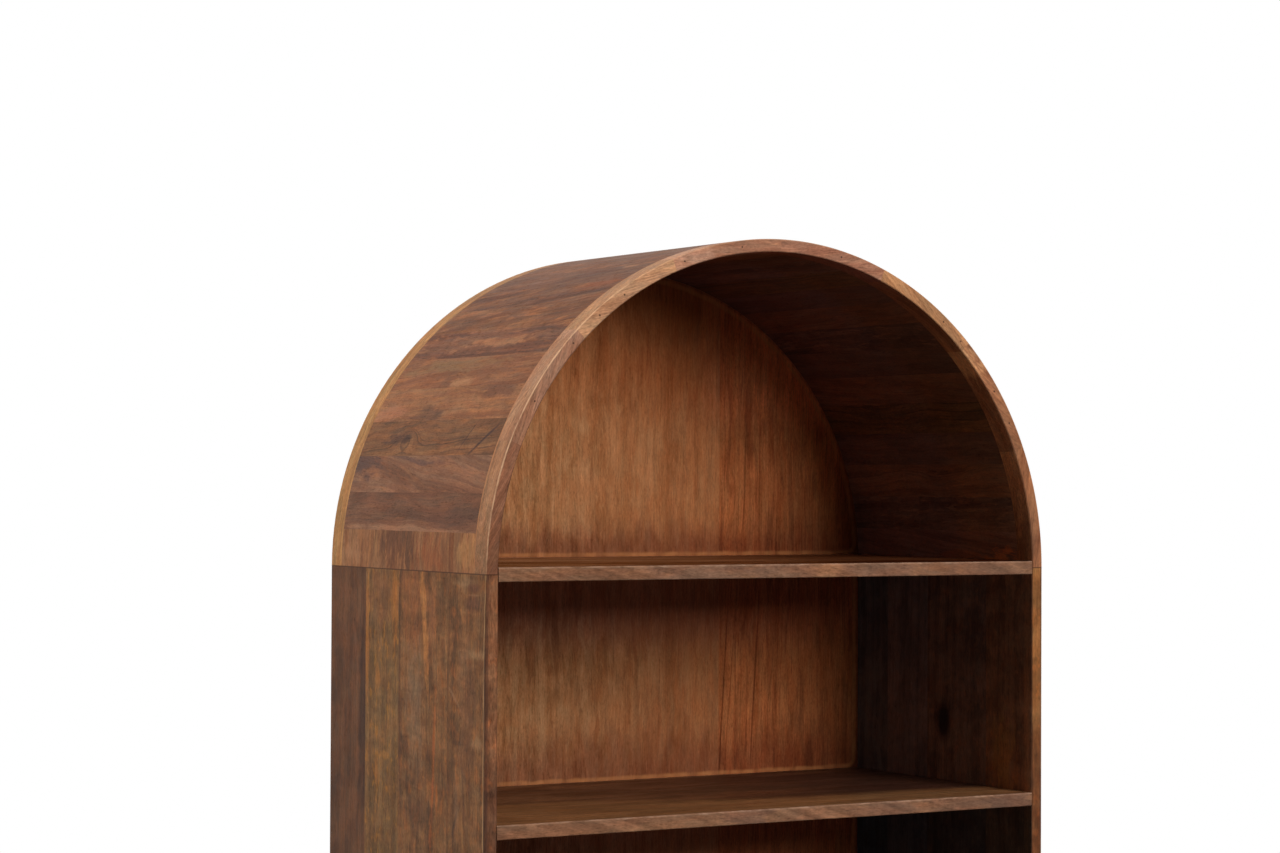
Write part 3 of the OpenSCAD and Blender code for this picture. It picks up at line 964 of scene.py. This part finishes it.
def bay_stain_and_shade(g, veneer, place, rim, above_shelf, under_arch):
    """Stain and painted shade: deeper and redder just above the shelves, painted shade below them
    and along the arch.
    """
    wavy = g.times(g.swing(place, (0.03, 0.03, 0.012), 4.0, 0.6), 90.0)
    reach = g.remap(under_arch, 0.0, 1.0, 105.0, 72.0, smooth=False)
    # Deeper and redder just above each shelf: stain together with painted shade in the corner
    stain_and_shade = g.minus(1.0, g.math("DIVIDE", g.plus(above_shelf, wavy), reach))
    color = g.tint(veneer, (0.5, 0.4, 0.46, 1), g.remap(stain_and_shade, 0.0, 0.85, 0.0, 0.85))
    # Painted shade: the panel tinted redder just under the shelf above
    painted_shade_under_shelf = g.times(g.remap(above_shelf, 165.0, 260.0), g.minus(1.0, under_arch))
    color = g.tint(color, (1.02, 0.86, 1.1, 1), painted_shade_under_shelf)
    # Painted shade: darker and redder along the arch
    painted_shade = g.remap(g.plus(rim, g.times(wavy, 0.6)), 75.0, 15.0, 0.0, 0.45)
    return g.tint(color, (0.82, 0.6, 0.45, 1), g.times(painted_shade, under_arch))


def worn_border(g, color, place, rim, above_shelf):
    """A paler, worn line just inside the edge of each bay, rounded at its corners, with painted
    shade right at the edge.
    """
    corner = 22.0
    foot_gap = 4.0
    rag = g.times(g.swing(place, (0.04, 0.04, 0.04), 3.0), 5.0)
    from_side = g.most(g.minus(corner, rim), 0.0)
    from_foot = g.most(g.minus(corner - foot_gap, above_shelf), 0.0)
    border = g.plus(g.minus(corner, g.length(from_side, from_foot)), rag)
    # Painted shade: a dark line right where the panel meets the walls, the arch and the shelves
    color = g.blend(g.remap(border, 5.0, 1.5, 0.0, 0.3), color, BACK_SHADE)
    broken = g.cloud(place, (0.05, 0.05, 0.03), 2.0)
    worn = g.remap(g.size(g.minus(border, 7.5)), 5.5, 0.8)
    worn = g.times(worn, g.remap(broken, 0.3, 0.65, 0.18, 0.5))
    return g.blend(worn, color, BACK_WEAR)


def dress_back():
    """Two leaves of veneer: golden on the left, redder with fine dark lines on the right."""
    material, g = new_material("back_veneer")
    lie = (ALONG_Z, ALONG_X, centre_of("back_panel"))
    golden, roughness, height, _ = lay_grain(g, VENEER_LEFT, *lie, VENEER_SEED)
    red = lay_grain(g, VENEER_RIGHT, *lie, VENEER_SEED + 1)[0]
    radius, x, y, z = wall_place(g)
    towards_joint = g.remap(x, -220.0, VENEER_JOINT_X, 0.0, 0.6)
    past_joint = g.math("GREATER_THAN", x, VENEER_JOINT_X)
    plain = g.blend(g.plus(towards_joint, past_joint), golden, red)

    # Only the front of the panel shows the bays
    from_top = g.plus(g.minus(z, SHELF_TOP * MM), 1.0)
    in_bays = g.math("FLOORED_MODULO", from_top, BAY_PITCH * MM)
    above_shelf = g.most(in_bays, from_top)
    under_arch = g.math("GREATER_THAN", from_top, 0.0)
    rim = g.minus(INNER_R * MM, radius)
    color = veneer_tones(g, plain, x, z)
    color = bay_stain_and_shade(g, color, (x, y, z), rim, above_shelf, under_arch)
    color = worn_border(g, color, (x, y, z), rim, above_shelf)
    in_front = g.math("LESS_THAN", y, centre_of("back_panel").y * MM)
    finish_material(g, g.blend(in_front, plain, color), roughness, height)
    dress("back_panel", material)


def plain_material(name, color, roughness, metallic=0.0):
    """Small parts: an even colour broken by fine noise."""
    material, g = new_material(name)
    speckle = g.cloud(g.split(g.position()), (0.8, 0.8, 0.8), 3.0, 0.6)
    tone = g.remap(speckle, 0.3, 0.7, 0.8, 1.15)
    varied = g.tint(color, g.grey(tone))
    rough = g.remap(speckle, 0.3, 0.7, roughness - 0.06, roughness + 0.08)
    g.coat({"Base Color": varied, "Roughness": rough, "Metallic": metallic})
    return material


def dress_small_parts():
    dress("foot_dowels", plain_material("dowel_beech", srgb(214, 178, 132), 0.6))
    dress("back_screws", plain_material("screw_steel", srgb(168, 166, 158), 0.35, 1.0))
    dress("floor_glides", plain_material("glide_nylon", srgb(48, 44, 40), 0.5))


def make_camera():
    """The photograph's viewpoint: left of the case, level with the joint of arch and sides."""
    data = bpy.data.cameras.new("camera")
    data.sensor_width = 36.0
    data.lens = 83.95
    camera = bpy.data.objects.new("camera", data)
    bpy.context.collection.objects.link(camera)
    yaw = math.radians(30.897)
    pitch = math.radians(1.078)
    roll = math.radians(0.273)
    place = Vector((-2.2404, FRONT_Y - 3.3728, SPRINGING_Z + 0.1187))
    turn = Matrix.Rotation(-yaw, 4, "Z") @ Matrix.Rotation(math.pi / 2 + pitch, 4, "X")
    camera.matrix_world = Matrix.Translation(place) @ turn @ Matrix.Rotation(roll, 4, "Z")
    bpy.context.scene.camera = camera


def make_light(name, place, target, width, height, power, mirrored=False):
    """A soft rectangular lamp aimed at a point. Only a mirrored one shows in the lacquer."""
    data = bpy.data.lights.new(name, "AREA")
    data.shape = "RECTANGLE"
    data.size = width
    data.size_y = height
    data.energy = power
    lamp = bpy.data.objects.new(name, data)
    bpy.context.collection.objects.link(lamp)
    lamp.location = place
    lamp.visible_glossy = mirrored
    direction = Vector(target) - Vector(place)
    lamp.rotation_euler = direction.to_track_quat("-Z", "Y").to_euler()


def make_world():
    """White where the camera or a reflection sees it, dim as a light."""
    world = bpy.data.worlds.new("studio")
    world.use_nodes = True
    world.node_tree.nodes.clear()
    g = Graph(world.node_tree)
    path = g.add("ShaderNodeLightPath").outputs
    seen = g.most(path["Is Camera Ray"], path["Is Transmission Ray"])
    seen = g.most(seen, path["Is Glossy Ray"])
    strength = g.remap(seen, 0.0, 1.0, 0.055, 1.0, smooth=False)
    background = g.add("ShaderNodeBackground", {"Color": (1, 1, 1, 1), "Strength": strength})
    g.add("ShaderNodeOutputWorld", {"Surface": background.outputs[0]})
    bpy.context.scene.world = world


def make_floor():
    """A wide pale floor; away from the object it melts into the white background."""
    reach = 60.0
    corners = [(-reach, -reach, 0), (reach, -reach, 0), (reach, reach, 0), (-reach, reach, 0)]
    mesh = bpy.data.meshes.new("floor")
    mesh.from_pydata(corners, [], [(0, 1, 2, 3)])
    floor = bpy.data.objects.new("floor", mesh)
    bpy.context.collection.objects.link(floor)
    material, g = new_material("floor_white")
    x, y, _ = g.split(g.position())
    distance = g.length(x, y)
    path = g.add("ShaderNodeLightPath").outputs
    seen = g.most(path["Is Camera Ray"], path["Is Glossy Ray"])
    white = g.times(g.remap(distance, 1500.0, 4000.0), seen)
    pale = g.blend(seen, (0.16, 0.16, 0.16, 1), (0.86, 0.86, 0.86, 1))
    matte = g.add("ShaderNodeBsdfDiffuse", {"Color": pale})
    glow = g.add("ShaderNodeEmission", {"Color": (1, 1, 1, 1), "Strength": 1.0})
    mixed = g.add("ShaderNodeMixShader", {0: white, 1: matte.outputs[0], 2: glow.outputs[0]})
    g.add("ShaderNodeOutputMaterial", {"Surface": mixed.outputs[0]})
    mesh.materials.append(material)


make_camera()
dress_staves()
dress_rings()
dress_sides()
dress_shelves()
dress_back()
dress_small_parts()
make_world()
make_floor()
make_light("key", place=(1.35, -4.5, 2.95), target=(0.0, 0.0, 1.35), width=2.1, height=2.1,
           power=240)
make_light("side", place=(-3.4, 0.7, 3.9), target=(-0.3, 0.1, 1.3), width=2.2, height=1.4,
           power=155, mirrored=True)
make_light("fill", place=(-4.2, -3.4, 1.3), target=(0.3, 0.1, 1.2), width=1.6, height=1.6, power=3)
make_light("rear", place=(2.6, 4.2, 1.5), target=(0.0, 0.2, 0.8), width=2.4, height=2.0, power=150)
bpy.context.scene.view_settings.view_transform = "Standard"
